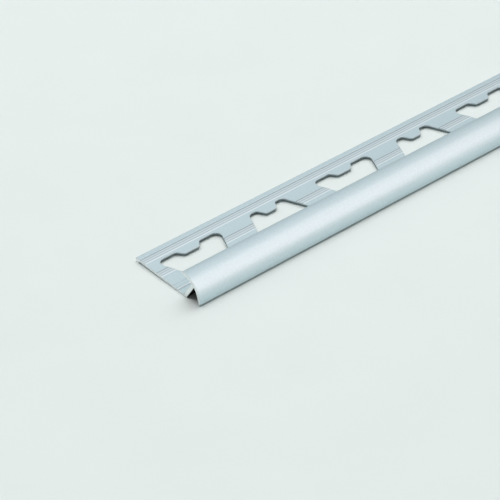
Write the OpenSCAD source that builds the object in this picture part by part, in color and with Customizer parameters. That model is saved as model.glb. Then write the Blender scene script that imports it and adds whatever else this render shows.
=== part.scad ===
// Quadrant tile edge trim: one aluminium extrusion with a punched fixing leg.
// The length runs along X, the leg lies behind the rounded face towards +Y, and Z is up.
// The origin is at floor level, in the middle of the length and of the width.

/* [Stock] */
// Length the stock is sold in
stock_length = 2500; // [300:50:3000]
// Width from the front of the rounded face to the rear edge of the leg
overall_width = 35.6; // [33:0.1:42]

/* [Rounded face] */
// Height from the floor to the top of the rounded face
trim_height = 10.4; // [8.4:0.1:13]
// Gap between the floor and the foot of the rounded face
face_gap = 0.4; // [0.2:0.1:0.8]
// Straight stretch at the foot of the rounded face
skirt_height = 1; // [0.6:0.1:2]
// Wall of the rounded face
face_wall = 1.1; // [0.9:0.1:1.6]
// Straight lip past the top of the rounding, which the tile edge meets
lip_length = 0.3; // [0.1:0.1:1]
// Small rounding along the free edges of the extrusion
edge_rounding = 0.35; // [0.1:0.05:0.45]

/* [Web] */
// Thickness of the leaning web under the rounded face
web_wall = 1.6; // [1:0.1:2]
// Lean of the web from the vertical, towards the front
web_lean = 32.5; // [25:0.5:38]
// Distance from the front of the face to the front of the web's foot
web_foot = 7.3; // [6.5:0.1:8]

/* [Leg] */
// Thickness of the leg
leg_wall = 0.9; // [0.8:0.1:1.4]
// Rise of the leg from the web to the rear bead
leg_lift = 0.7; // [0.2:0.1:1.6]
// Width of the flat strip that the web stands on
foot_strip = 3.1; // [2.8:0.1:3.6]
// Width of the bead along the rear edge
bead_width = 1.9; // [1.4:0.1:2]
// Height of the bead above the leg in front of it
bead_rise = 0.1; // [0.05:0.05:0.5]

/* [Ribs and groove] */
// Height of a keying rib
rib_height = 0.2; // [0.15:0.05:0.35]
// Height of the valley between two keying ribs
rib_valley = 0.1; // [0:0.05:0.15]
// Width of the outer side of a group of keying ribs, from its crest to its foot
rib_side = 0.45; // [0.2:0.05:0.6]
// Spacing of the keying ribs within a group
rib_pitch = 1.15; // [0.9:0.05:1.3]
// Number of keying ribs in a group
rib_count = 3; // [1:1:3]
// Distance from the rear edge to the first rib of the rear group
rear_ribs_at = 2.85; // [2.6:0.05:3]
// Distance from the rear edge to the first rib of the middle group
middle_ribs_at = 12.15; // [11:0.05:14]
// Width of the groove beside the web
groove_width = 0.8; // [0.4:0.05:1.1]
// Depth of the groove beside the web
groove_depth = 0.3; // [0.1:0.05:0.5]
// Distance from the strip that the web stands on to the groove beside it
web_groove_at = 1.65; // [0.6:0.05:1.8]

/* [Punched holes] */
// Distance between neighbouring holes along the length
hole_pitch = 37.7; // [36:0.1:44]
// Distance from the cut end to the middle of the first hole
first_hole_at = 18.5; // [17.5:0.1:30]
// Least plain metal between the last hole and the far end
end_margin = 3; // [2:0.5:20]
// Width of a hole halfway between its front and rear edges
hole_width = 23.4; // [22:0.1:26]
// How far each side of a hole runs outwards or inwards on either half of it
hole_flare = 3.55; // [1.4:0.05:3.6]
// Distance from the groove beside the web to the front edge of the holes
hole_front_margin = 0.5; // [0.3:0.1:3]
// Distance from the rear edge of the leg to the rear edge of the holes
hole_rear_margin = 6.7; // [6.4:0.1:9]
// Rounding of the hole corners
hole_rounding = 2.5; // [1:0.1:2.5]
// Rounding of the tab that stands into each hole from its rear edge
tab_rounding = 1.5; // [0.5:0.1:1.5]
// Reach of the tab in a hole that is wide at the rear
wide_tab_reach = 2.8; // [2:0.1:4]
// Width of that tab at its tip
wide_tab_tip = 6.8; // [4:0.1:8]
// Width of that tab at its root
wide_tab_root = 11.2; // [10:0.1:13]
// Reach of the tab in a hole that is narrow at the rear
narrow_tab_reach = 3.5; // [2:0.1:4]
// Width of that tab at its tip
narrow_tab_tip = 5; // [4:0.1:6]
// Width of that tab at its root
narrow_tab_root = 9.3; // [8:0.1:10]

/* [Hidden] */
$fn = 64;
over = 1;                                        // how far a cutter runs past what it cuts
seam = 0.004;                                    // how far a rounding arc stands over the lines it joins
skirt_top = face_gap + skirt_height;
face_radius = trim_height - skirt_top;
bead_front = overall_width - bead_width;
foot_end = web_foot + foot_strip;
hole_front = foot_end + web_groove_at + groove_width / 2 + hole_front_margin;
hole_rear = overall_width - hole_rear_margin;
last_hole_room = stock_length - first_hole_at - hole_width / 2 - hole_flare - end_margin;
hole_count = 1 + floor(last_hole_room / hole_pitch);

// Height of the leg's top at a distance from the front of the face
function leg_top(y) = leg_wall + leg_lift * max(0, y - foot_end) / (bead_front - foot_end);

// Unit vector from one point to another
function toward(from, to) = (to - from) / norm(to - from);

// Corner data of an outline: each point with its neighbours, counter-clockwise
function before(p, i) = p[(i + len(p) - 1) % len(p)];
function after(p, i) = p[(i + 1) % len(p)];
function turn(p, i) = cross(p[i] - before(p, i), after(p, i) - p[i]);
function half_angle(p, i) =
    acos(toward(p[i], before(p, i)) * toward(p[i], after(p, i))) / 2;
function touch(p, r, i) = r[i] / tan(half_angle(p, i));
function bisector(p, i) =
    toward([0, 0], toward(p[i], before(p, i)) + toward(p[i], after(p, i)));

// An outline with its corners rounded by true arcs, one radius a corner
module rounded_outline(p, r) {
    corners = [for (i = [0 : len(p) - 1]) if (r[i] > 0) i];
    difference() {
        union() {
            polygon([for (i = [0 : len(p) - 1]) each r[i] > 0
                ? [p[i] + touch(p, r, i) * toward(p[i], before(p, i)),
                   p[i] + touch(p, r, i) * toward(p[i], after(p, i))]
                : [p[i]]]);
            for (i = corners) if (turn(p, i) > 0) corner_circle(p, r, i);
        }
        for (i = corners) if (turn(p, i) < 0) corner_circle(p, r, i);
    }
}

module corner_circle(p, r, i) {
    translate(p[i] + r[i] / sin(half_angle(p, i)) * bisector(p, i)) circle(r[i] + seam);
}

// Section of the rounded face: a quarter ring between a short skirt and a short lip
module face_section() {
    r = edge_rounding;
    inner = face_radius - face_wall;
    intersection() {
        translate([face_radius, skirt_top]) difference() {
            circle(face_radius);
            circle(inner);
        }
        translate([0, skirt_top]) square(face_radius);
    }
    rounded_outline(
        [[0, face_gap], [face_wall, face_gap], [face_wall, skirt_top], [0, skirt_top]], [r, r, 0, 0]);
    translate([face_radius, trim_height - face_wall]) square([lip_length, face_wall]);
}

// Section of the web, which leans forward until it ends inside the wall of the face
module web_section() {
    across = web_wall / cos(web_lean);
    lean = trim_height * tan(web_lean);
    intersection() {
        translate([web_foot, 0])
            polygon([[0, 0], [across, 0], [across - lean, trim_height], [-lean, trim_height]]);
        union() {
            translate([face_radius, skirt_top]) circle(face_radius - face_wall / 2);
            square([2 * face_radius, skirt_top]);
        }
    }
}

// A point over the leg's top, or under it where rise is below zero
function on_leg(y, rise) = [y, leg_top(y) + rise];

// Outline of a group of ribs from its rear foot to its front foot, its first crest at y
function rib_points(y) = concat(
    [on_leg(y + rib_side, 0)],
    [for (i = [0 : 2 * rib_count - 2]) on_leg(y - i * rib_pitch / 2, i % 2 == 0 ? rib_height : rib_valley)],
    [on_leg(y - (rib_count - 1) * rib_pitch - rib_side, 0)]);

// Outline of the groove from its rear edge to its front edge, its bottom at y
function groove_points(y) =
    [on_leg(y + groove_width / 2, 0), on_leg(y, -groove_depth), on_leg(y - groove_width / 2, 0)];

// Section of the leg: a thin ribbed sheet that runs from the web into the bead along the rear edge
module leg_section() {
    r = edge_rounding;
    inside_bead = bead_front + bead_width / 2;
    bead_top = leg_top(bead_front) + bead_rise;
    polygon(concat(
        [[web_foot, 0], [foot_end, 0], [bead_front, leg_lift], [inside_bead, leg_lift]],
        [[inside_bead, leg_top(bead_front)], [bead_front, leg_top(bead_front)]],
        [for (start = [rear_ribs_at, middle_ribs_at]) each rib_points(overall_width - start)],
        groove_points(foot_end + web_groove_at),
        [[foot_end, leg_wall], [web_foot, leg_wall]]));
    translate([bead_front, 0]) rounded_outline(
        [[0, 0], [bead_width, 0], [bead_width, bead_top], [0, bead_top]], [0, r, r, 0]);
}

module section() {
    face_section();
    web_section();
    leg_section();
}

// Outline of one punched hole, its side lines flaring by half_flare to the rear
module hole_outline(half_flare, tab_reach, tab_tip, tab_root) {
    front = hole_width / 2 - half_flare;
    rear = hole_width / 2 + half_flare;
    tip = hole_rear - tab_reach;
    c = hole_rounding;
    t = tab_rounding;
    rounded_outline(
        [[-front, hole_front], [front, hole_front], [rear, hole_rear], [tab_root / 2, hole_rear],
         [tab_tip / 2, tip], [-tab_tip / 2, tip], [-tab_root / 2, hole_rear], [-rear, hole_rear]],
        [c, c, c, t, t, t, t, c]);
}

// The holes along the leg: wide at the rear and narrow at the rear by turns
module hole_row() {
    for (i = [0 : hole_count - 1])
        translate([first_hole_at + i * hole_pitch, 0])
            if (i % 2 == 0) hole_outline(hole_flare, wide_tab_reach, wide_tab_tip, wide_tab_root);
            else hole_outline(-hole_flare, narrow_tab_reach, narrow_tab_tip, narrow_tab_root);
}

module edge_trim() {
    color("#c3cdd1")
        translate([-stock_length / 2, -overall_width / 2, 0])
            difference() {
                rotate([90, 0, 90]) linear_extrude(stock_length) section();
                translate([0, 0, -over]) linear_extrude(trim_height + over) hole_row();
            }
}

edge_trim();
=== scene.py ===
import math

import bmesh
import bpy
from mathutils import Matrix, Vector


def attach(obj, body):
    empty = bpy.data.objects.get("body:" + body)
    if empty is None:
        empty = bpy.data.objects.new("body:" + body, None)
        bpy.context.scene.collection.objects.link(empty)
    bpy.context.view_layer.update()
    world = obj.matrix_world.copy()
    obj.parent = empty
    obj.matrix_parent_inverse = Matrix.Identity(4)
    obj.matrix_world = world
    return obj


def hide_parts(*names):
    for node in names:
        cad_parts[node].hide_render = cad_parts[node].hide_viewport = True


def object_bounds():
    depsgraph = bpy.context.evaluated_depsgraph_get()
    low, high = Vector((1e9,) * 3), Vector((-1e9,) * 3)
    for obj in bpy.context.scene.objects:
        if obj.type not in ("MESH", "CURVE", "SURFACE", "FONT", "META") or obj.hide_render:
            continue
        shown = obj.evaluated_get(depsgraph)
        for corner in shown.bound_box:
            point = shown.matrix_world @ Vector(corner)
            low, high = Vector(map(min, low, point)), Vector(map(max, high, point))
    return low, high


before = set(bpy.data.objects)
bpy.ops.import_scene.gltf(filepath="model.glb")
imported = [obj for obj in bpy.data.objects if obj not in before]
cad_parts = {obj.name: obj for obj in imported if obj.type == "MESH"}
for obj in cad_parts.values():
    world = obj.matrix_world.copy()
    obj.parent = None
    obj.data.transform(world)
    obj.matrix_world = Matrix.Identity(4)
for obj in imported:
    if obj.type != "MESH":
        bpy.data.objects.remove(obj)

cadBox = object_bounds()
scene = bpy.context.scene
mm = 0.001
factor, colourA, colourB, colourOut = 0, 6, 7, 2  # sockets of a Mix node set to colour


def hexColour(code):  # sRGB hex to linear rgba
    channels = [int(code[i:i + 2], 16) / 255 for i in (1, 3, 5)]
    return [c / 12.92 if c <= 0.04045 else ((c + 0.055) / 1.055) ** 2.4 for c in channels] + [1]


def addNode(tree, kind, settings=None, links=None):  # settings are properties or sockets
    node = tree.nodes.new(kind)
    for name, value in (settings or {}).items():
        if isinstance(name, str) and name in node.bl_rna.properties:
            setattr(node, name, value)
        else:
            node.inputs[name].default_value = value
    for name, source in (links or {}).items():
        tree.links.new(source, node.inputs[name])
    return node


def newMaterial(name):
    material = bpy.data.materials.new(name)
    material.use_nodes = True
    material.node_tree.nodes.clear()
    return material, material.node_tree


# Satin silver anodised aluminium: a soft broad gleam, faint die lines along it and a fine etched grain, with
# painted light and shade on the rib sides and painted shade on the face towards the lip
anodised = dict(
    dark="#c2d5da",
    light="#ccdee3",
    metallic=1.0,
    roughness=(0.46, 0.54),
    lineWidth=0.35 * mm,              # die lines across the section
    lineLength=260 * mm,
    lineHeight=0.004 * mm,
    grain=0.7 * mm,                   # a real etch is finer, drawn coarse enough to show
    grainSpan=(0.3, 0.7),             # where most of the grain's noise lies
    grainTone=(0.965, 1.035),
    grainHeight=0.004 * mm,
    shaded="#8d9ba1",                 # painted shade on rib and groove sides that face the rear
    lit="#dfe9ed",                    # and painted highlight on those that face the front
    bandsFrom=(-5.15 * mm, -4.5 * mm, -3.2 * mm, -3.0 * mm),  # bands of tone behind the groove
    bandTones=(0.92, 0.97, 0.8, 1.0),
    bandMargin=1 * mm,
    crown=(-12.75 * mm, -8.45 * mm),  # painted shade, darker on the face towards the lip
    crownAbove=6 * mm,
    crownTone=0.87,
    lip=(-10.25 * mm, -8.45 * mm),    # the lip rolls off a little to the rear
    lipAbove=9 * mm,
    lipPower=2.0,
    lipFall=0.16 * mm,
)


def anodisedAluminium():
    s = anodised
    material, tree = newMaterial("satin_anodised_aluminium")
    place = addNode(tree, "ShaderNodeTexCoord").outputs["Object"]
    spot = addNode(tree, "ShaderNodeSeparateXYZ", None, {"Vector": place}).outputs

    # die lines and etched grain
    across, along = 1 / s["lineWidth"], 1 / s["lineLength"]
    stretched = addNode(tree, "ShaderNodeMapping", {"Scale": (along, across, across)}, {"Vector": place})
    lines = addNode(tree, "ShaderNodeTexNoise", {"Scale": 1.0, "Detail": 3.0, "Roughness": 0.6},
                    {"Vector": stretched.outputs["Vector"]})
    grain = addNode(tree, "ShaderNodeTexNoise", {"Scale": 1 / s["grain"], "Detail": 2.0}, {"Vector": place})
    tone = addNode(tree, "ShaderNodeMix",
                   {"data_type": "RGBA", colourA: hexColour(s["dark"]), colourB: hexColour(s["light"])},
                   {factor: lines.outputs["Fac"]})
    speck = addNode(tree, "ShaderNodeMapRange",
                    {"From Min": s["grainSpan"][0], "From Max": s["grainSpan"][1],
                     "To Min": s["grainTone"][0], "To Max": s["grainTone"][1]},
                    {"Value": grain.outputs["Fac"]})
    etched = addNode(tree, "ShaderNodeMix", {"data_type": "RGBA", "blend_type": "MULTIPLY", factor: 1.0},
                     {colourA: tone.outputs[colourOut], colourB: speck.outputs["Result"]})

    # painted light and shade on the sides of the ribs and the groove
    paintedSideLight = addNode(tree, "ShaderNodeAttribute", {"attribute_name": "paintedSideLight"}).outputs["Fac"]
    side = addNode(tree, "ShaderNodeMapRange", {"From Min": -1.0}, {"Value": paintedSideLight})
    sideTone = addNode(tree, "ShaderNodeMix",
                       {"data_type": "RGBA", colourA: hexColour(s["shaded"]), colourB: hexColour(s["lit"])},
                       {factor: side.outputs["Result"]})
    slope = addNode(tree, "ShaderNodeMath", {"operation": "ABSOLUTE"}, {0: paintedSideLight})
    sided = addNode(tree, "ShaderNodeMix", {"data_type": "RGBA"},
                    {factor: slope.outputs[0], colourA: etched.outputs[colourOut],
                     colourB: sideTone.outputs[colourOut]})

    # bands behind the groove
    first, last = s["bandsFrom"][0] - s["bandMargin"], s["bandsFrom"][-1] + s["bandMargin"]
    share = addNode(tree, "ShaderNodeMapRange", {"From Min": first, "From Max": last}, {"Value": spot["Y"]})
    bands = addNode(tree, "ShaderNodeValToRGB", None, {"Fac": share.outputs["Result"]})
    bands.color_ramp.interpolation = "CONSTANT"
    bands.color_ramp.elements[0].color = (1, 1, 1, 1)
    for start, level in zip(s["bandsFrom"], s["bandTones"]):
        stop = bands.color_ramp.elements.new((start - first) / (last - first))
        stop.color = (level, level, level, 1)
    banded = addNode(tree, "ShaderNodeMix", {"data_type": "RGBA", "blend_type": "MULTIPLY", factor: 1.0},
                     {colourA: sided.outputs[colourOut], colourB: bands.outputs["Color"]})

    # painted shade on the crown of the face, towards the lip
    crownShare = addNode(tree, "ShaderNodeMapRange", {"From Min": s["crown"][0], "From Max": s["crown"][1]},
                         {"Value": spot["Y"]})
    high = addNode(tree, "ShaderNodeMath", {"operation": "GREATER_THAN", 1: s["crownAbove"]}, {0: spot["Z"]})
    onCrown = addNode(tree, "ShaderNodeMath", {"operation": "MULTIPLY"},
                      {0: crownShare.outputs["Result"], 1: high.outputs[0]})
    paintedCrownShade = addNode(tree, "ShaderNodeMix",
                     {"data_type": "RGBA", "blend_type": "MULTIPLY", colourB: [s["crownTone"]] * 3 + [1]},
                     {factor: onCrown.outputs[0], colourA: banded.outputs[colourOut]})
    rough = addNode(tree, "ShaderNodeMapRange", {"To Min": s["roughness"][0], "To Max": s["roughness"][1]},
                    {"Value": grain.outputs["Fac"]})

    # bump of the lip, the lines and the grain
    lipShare = addNode(tree, "ShaderNodeMapRange", {"From Min": s["lip"][0], "From Max": s["lip"][1]},
                       {"Value": spot["Y"]})
    curve = addNode(tree, "ShaderNodeMath", {"operation": "POWER", 1: s["lipPower"]},
                    {0: lipShare.outputs["Result"]})
    top = addNode(tree, "ShaderNodeMath", {"operation": "GREATER_THAN", 1: s["lipAbove"]}, {0: spot["Z"]})
    fall = addNode(tree, "ShaderNodeMath", {"operation": "MULTIPLY"},
                   {0: curve.outputs[0], 1: top.outputs[0]})
    lipBump = addNode(tree, "ShaderNodeBump", {"Distance": s["lipFall"], "invert": True},
                      {"Height": fall.outputs[0]})
    lineBump = addNode(tree, "ShaderNodeBump", {"Distance": s["lineHeight"]},
                       {"Height": lines.outputs["Fac"], "Normal": lipBump.outputs["Normal"]})
    grainBump = addNode(tree, "ShaderNodeBump", {"Distance": s["grainHeight"]},
                        {"Height": grain.outputs["Fac"], "Normal": lineBump.outputs["Normal"]})
    shader = addNode(tree, "ShaderNodeBsdfPrincipled", {"Metallic": s["metallic"]},
                     {"Base Color": paintedCrownShade.outputs[colourOut], "Roughness": rough.outputs["Result"],
                      "Normal": grainBump.outputs["Normal"]})
    addNode(tree, "ShaderNodeOutputMaterial", None, {"Surface": shader.outputs["BSDF"]})
    return material


# Sawn bare aluminium: brighter than the anodised skin, with fine upright blade marks
sawn = dict(
    dark="#e2e7e8",
    light="#f7f9f9",
    metallic=1.0,
    roughness=(0.36, 0.46),
    markSpacing=0.4 * mm,
    markLength=6 * mm,
    markHeight=0.012 * mm,
)


def sawnAluminium():
    s = sawn
    material, tree = newMaterial("sawn_bare_aluminium")
    place = addNode(tree, "ShaderNodeTexCoord").outputs["Object"]
    scale = (1 / s["markLength"], 1 / s["markSpacing"], 1 / s["markLength"])
    stretched = addNode(tree, "ShaderNodeMapping", {"Scale": scale}, {"Vector": place})
    marks = addNode(tree, "ShaderNodeTexNoise", {"Scale": 1.0, "Detail": 3.0},
                    {"Vector": stretched.outputs["Vector"]})
    tone = addNode(tree, "ShaderNodeMix",
                   {"data_type": "RGBA", colourA: hexColour(s["dark"]), colourB: hexColour(s["light"])},
                   {factor: marks.outputs["Fac"]})
    rough = addNode(tree, "ShaderNodeMapRange", {"To Min": s["roughness"][0], "To Max": s["roughness"][1]},
                    {"Value": marks.outputs["Fac"]})
    bump = addNode(tree, "ShaderNodeBump", {"Distance": s["markHeight"]}, {"Height": marks.outputs["Fac"]})
    shader = addNode(tree, "ShaderNodeBsdfPrincipled", {"Metallic": s["metallic"]},
                     {"Base Color": tone.outputs[colourOut], "Roughness": rough.outputs["Result"],
                      "Normal": bump.outputs["Normal"]})
    addNode(tree, "ShaderNodeOutputMaterial", None, {"Surface": shader.outputs["BSDF"]})
    return material


# Sheared bare aluminium: the dull wall that a punch tore, darkened further with painted shade, brighter near
# the top where it went in
sheared = dict(
    # the lower wall, where the punch tore: dull metal, darkened further with painted shade
    tornAndShaded="#788286",
    burnished="#c0cbcf",
    metallic=1.0,
    roughness=0.6,
    underside=(-7.4 * mm, 0.7 / 23.3),  # where the leg's underside starts to rise, and its slope
    tear=(0.25 * mm, 0.6 * mm),         # heights over the underside where the tear ends
    waver=(0.7, 0.6),                   # the tear's edge wavers: least share, and what the streaks add
    streak=0.5 * mm,
    streakStretch=10,                   # how many times longer a streak is than wide
    streakHeight=0.03 * mm,
)


def shearedAluminium():
    s = sheared
    material, tree = newMaterial("sheared_bare_aluminium")
    place = addNode(tree, "ShaderNodeTexCoord").outputs["Object"]
    spot = addNode(tree, "ShaderNodeSeparateXYZ", None, {"Vector": place}).outputs
    start, rise = s["underside"]
    under = addNode(tree, "ShaderNodeMath", {"operation": "MULTIPLY_ADD", 1: -rise, 2: start * rise},
                    {0: spot["Y"]})
    height = addNode(tree, "ShaderNodeMath", {"operation": "ADD"}, {0: spot["Z"], 1: under.outputs[0]})
    wide = 1 / s["streak"]
    stretched = addNode(tree, "ShaderNodeMapping", {"Scale": (wide, wide, wide / s["streakStretch"])},
                        {"Vector": place})
    streaks = addNode(tree, "ShaderNodeTexNoise", {"Scale": 1.0, "Detail": 2.0},
                      {"Vector": stretched.outputs["Vector"]})
    up = addNode(tree, "ShaderNodeMapRange", {"From Min": s["tear"][0], "From Max": s["tear"][1]},
                 {"Value": height.outputs[0]})
    least, added = s["waver"]
    wavering = addNode(tree, "ShaderNodeMath", {"operation": "MULTIPLY_ADD", 1: added, 2: least},
                       {0: streaks.outputs["Fac"]})
    edge = addNode(tree, "ShaderNodeMath", {"operation": "MULTIPLY", "use_clamp": True},
                   {0: up.outputs["Result"], 1: wavering.outputs[0]})
    tone = addNode(tree, "ShaderNodeMix",
                   {"data_type": "RGBA", colourA: hexColour(s["tornAndShaded"]), colourB: hexColour(s["burnished"])},
                   {factor: edge.outputs[0]})
    bump = addNode(tree, "ShaderNodeBump", {"Distance": s["streakHeight"]},
                   {"Height": streaks.outputs["Fac"]})
    shader = addNode(tree, "ShaderNodeBsdfPrincipled",
                     {"Metallic": s["metallic"], "Roughness": s["roughness"]},
                     {"Base Color": tone.outputs[colourOut], "Normal": bump.outputs["Normal"]})
    addNode(tree, "ShaderNodeOutputMaterial", None, {"Surface": shader.outputs["BSDF"]})
    return material


# Painted shade inside the hollow: dull dark metal that stands in for the shade there, with soft blotches
hollowShade = dict(dark="#2c2a29", light="#45423f", metallic=1.0, roughness=0.7, blotch=4 * mm)


def hollowShadeMetal():
    s = hollowShade
    material, tree = newMaterial("painted_shade_in_hollow")
    place = addNode(tree, "ShaderNodeTexCoord").outputs["Object"]
    blotches = addNode(tree, "ShaderNodeTexNoise", {"Scale": 1 / s["blotch"], "Detail": 3.0},
                       {"Vector": place})
    tone = addNode(tree, "ShaderNodeMix",
                   {"data_type": "RGBA", colourA: hexColour(s["dark"]), colourB: hexColour(s["light"])},
                   {factor: blotches.outputs["Fac"]})
    shader = addNode(tree, "ShaderNodeBsdfPrincipled",
                     {"Metallic": s["metallic"], "Roughness": s["roughness"]},
                     {"Base Color": tone.outputs[colourOut]})
    addNode(tree, "ShaderNodeOutputMaterial", None, {"Surface": shader.outputs["BSDF"]})
    return material


# The trim: a merged copy of the imported solid with softened edges, each face given its own finish, and
# painted shade inside the hollow
trim = dict(
    node="edge_trim",
    mergeWithin=0.001 * mm,
    flatWithin=0.4,                    # degrees between faces that are one flat
    edgeAngle=52,                      # degrees, edges sharper than this are softened
    edgeSoftening=0.09 * mm,
    edgeSegments=2,
    smoothBelow=15,                    # degrees
    endNormal=0.99,                    # a sawn end faces along the length
    endWithin=1 * mm,
    wallNormal=0.05,                   # a hole's wall stands upright
    holesWithin=(-6 * mm, 11.5 * mm),  # across the leg
    probe=0.3 * mm,                    # how far off a face the hollow is felt for
    arcAxis=(-8.8 * mm, 1.4 * mm),     # middle of the rounded face's arc
    arcInside=7.95 * mm,
    webFront=(-10.5 * mm, 0.637),      # front of the web on the floor, lean
    upward=0.5,                        # a rib's or groove's side still looks up by this much
    sideSlope=(0.1, 0.7),              # lean of the side of a rib or groove
    litSlope=0.265,                    # the lean that gets the full painted highlight, facing the front
    shadedSlope=0.31,                  # and the full painted shade, facing the rear
    legAbove=3 * mm,                   # the leg lies below this
)


def inHollow(spot):
    s = trim
    if spot.z < 0 or spot.y + s["webFront"][1] * spot.z > s["webFront"][0]:
        return False
    fromAxis = Vector((spot.y - s["arcAxis"][0], max(0, spot.z - s["arcAxis"][1])))
    return fromAxis.length < s["arcInside"]


def finishOf(face):  # 0 skin, 1 sawn end, 2 sheared hole wall, 3 painted shade inside the hollow
    s = trim
    middle = face.calc_center_median()
    if abs(face.normal.x) > s["endNormal"] and abs(middle.x) > cadBox[1][0] - s["endWithin"]:
        return 1
    if abs(face.normal.z) < s["wallNormal"] and s["holesWithin"][0] < middle.y < s["holesWithin"][1]:
        return 2
    if inHollow(middle + face.normal * s["probe"]):
        return 3
    return 0


def paintedSideLightOf(face):  # painted light: up to 1, lit, on a rib or groove side that faces the front, down to -1, shaded, facing the rear
    s = trim
    across = face.normal.y
    if face.normal.z < s["upward"] or not s["sideSlope"][0] < abs(across) < s["sideSlope"][1]:
        return 0.0
    if face.calc_center_median().z > s["legAbove"] or face.material_index:
        return 0.0
    if across < 0:
        return min(1.0, -across / s["litSlope"])
    return max(-1.0, -across / s["shadedSlope"])


def dressTrim(*finishes):
    s = trim
    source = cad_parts[s["node"]]
    shape = bmesh.new()
    shape.from_mesh(source.data)
    bmesh.ops.remove_doubles(shape, verts=shape.verts, dist=s["mergeWithin"])
    bmesh.ops.dissolve_limit(shape, angle_limit=math.radians(s["flatWithin"]),
                             verts=shape.verts, edges=shape.edges)
    for face in shape.faces:
        face.smooth = True
        face.material_index = finishOf(face)
    sharp = [edge for edge in shape.edges if edge.is_manifold and edge.is_convex
             and edge.calc_face_angle() > math.radians(s["edgeAngle"])]
    bmesh.ops.bevel(shape, geom=sharp, offset=s["edgeSoftening"], offset_type="OFFSET", affect="EDGES",
                    segments=s["edgeSegments"], profile=0.5, material=-1, clamp_overlap=False)
    # painted light and shade for the sides of the ribs and the groove, by which way they face
    paintedSideLight = shape.faces.layers.float.new("paintedSideLight")
    for face in shape.faces:
        face[paintedSideLight] = paintedSideLightOf(face)
    loose = sum(not edge.is_manifold for edge in shape.edges)
    mesh = bpy.data.meshes.new("trim_dressed")
    shape.to_mesh(mesh)
    shape.free()
    for finish in finishes:
        mesh.materials.append(finish)
    mesh.set_sharp_from_angle(angle=math.radians(s["smoothBelow"]))
    piece = bpy.data.objects.new("trim_dressed", mesh)
    scene.collection.objects.link(piece)
    weights = piece.modifiers.new("flat_faces", "WEIGHTED_NORMAL")
    weights.keep_sharp = True
    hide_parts(s["node"])
    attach(piece, "root")
    print("trim:", len(mesh.polygons), "faces,", len(sharp), "softened edges,", loose, "open edges")


dressTrim(anodisedAluminium(), sawnAluminium(), shearedAluminium(), hollowShadeMetal())


# Matt paper floor: pale and even, with hardly any gloss and a faint mottle
floor = dict(dark="#e4ecea", light="#e8f0ee", roughness=0.9, gloss=0.1, mottle=30 * mm, size=40.0)


def layFloor():
    s = floor
    material, tree = newMaterial("matt_paper")
    place = addNode(tree, "ShaderNodeTexCoord").outputs["Object"]
    mottle = addNode(tree, "ShaderNodeTexNoise", {"Scale": 1 / s["mottle"], "Detail": 3.0},
                     {"Vector": place})
    tone = addNode(tree, "ShaderNodeMix",
                   {"data_type": "RGBA", colourA: hexColour(s["dark"]), colourB: hexColour(s["light"])},
                   {factor: mottle.outputs["Fac"]})
    shader = addNode(tree, "ShaderNodeBsdfPrincipled",
                     {"Roughness": s["roughness"], "Specular IOR Level": s["gloss"]},
                     {"Base Color": tone.outputs[colourOut]})
    addNode(tree, "ShaderNodeOutputMaterial", None, {"Surface": shader.outputs["BSDF"]})
    shape = bmesh.new()
    bmesh.ops.create_grid(shape, x_segments=1, y_segments=1, size=s["size"] / 2)
    bmesh.ops.translate(shape, verts=shape.verts, vec=(0, 0, cadBox[0][2]))
    mesh = bpy.data.meshes.new("floor")
    shape.to_mesh(mesh)
    shape.free()
    mesh.materials.append(material)
    plane = bpy.data.objects.new("floor", mesh)
    scene.collection.objects.link(plane)
    print("floor laid")


layFloor()


# Soft studio light: big boxes overhead and behind, one in front to the right, and a pale room
studio = dict(
    room="#eceeed",
    fill=0.3,
    boxes=[
        dict(name="overhead_box", place=(2.4, 1.5, 4.5), size=(12.0, 3.0), watts=204,
             colour="#fffdfc", rays="diffuse"),
        dict(name="rear_box", place=(-0.15, 1.8, 3.9), size=(7.2, 7.2), watts=142,
             colour="#fdfeff", rays="both"),
        dict(name="front_box", place=(1.05, -2.46, 2.16), size=(4.8, 4.8), watts=118,
             colour="#ffedeb", rays="glossy"),
    ],
)


def lightStudio():
    s = studio
    for box in s["boxes"]:
        lamp = bpy.data.lights.new(box["name"], "AREA")
        lamp.shape = "RECTANGLE"
        lamp.size, lamp.size_y = box["size"]
        lamp.energy = box["watts"]
        lamp.color = hexColour(box["colour"])[:3]
        lampObject = bpy.data.objects.new(box["name"], lamp)
        lampObject.location = box["place"]
        aim = Vector((box["place"][0], 0, 0)) - lampObject.location  # straight across the trim
        lampObject.rotation_euler = aim.to_track_quat("-Z", "Y").to_euler()
        lampObject.visible_glossy = box["rays"] != "diffuse"
        lampObject.visible_diffuse = box["rays"] != "glossy"
        scene.collection.objects.link(lampObject)
    world = bpy.data.worlds.new("pale_room")
    world.use_nodes = True
    scene.world = world
    tree = world.node_tree
    tree.nodes.clear()
    light = addNode(tree, "ShaderNodeBackground", {"Color": hexColour(s["room"]), "Strength": s["fill"]})
    addNode(tree, "ShaderNodeOutputWorld", None, {"Surface": light.outputs[0]})
    print("studio lit")


lightStudio()


# Camera at the photograph's viewing angle, placed from the near tip of the rounded face
view = dict(
    focal=2109.5,    # pixels, for an image 500 pixels wide
    image=500,
    sensor=36.0,
    pitch=36.6265,   # degrees below level
    heading=48.755,  # degrees from the length to where the camera looks
    fromTip=(-0.36823, -0.4465, 0.4549),
)


def placeCamera():
    s = view
    camera = bpy.data.cameras.new("camera")
    camera.sensor_width = s["sensor"]
    camera.lens = s["focal"] / s["image"] * s["sensor"]
    cameraObject = bpy.data.objects.new("camera", camera)
    tip = Vector((cadBox[0][0], cadBox[0][1], 0))
    cameraObject.location = tip + Vector(s["fromTip"])
    pitch, heading = math.radians(s["pitch"]), math.radians(s["heading"])
    level = Vector((math.cos(heading), math.sin(heading), 0))
    look = level * math.cos(pitch) - Vector((0, 0, math.sin(pitch)))
    cameraObject.rotation_euler = look.to_track_quat("-Z", "Y").to_euler()
    scene.collection.objects.link(cameraObject)
    scene.camera = cameraObject
    print("camera placed")


placeCamera()
scene.view_settings.view_transform = "Standard"
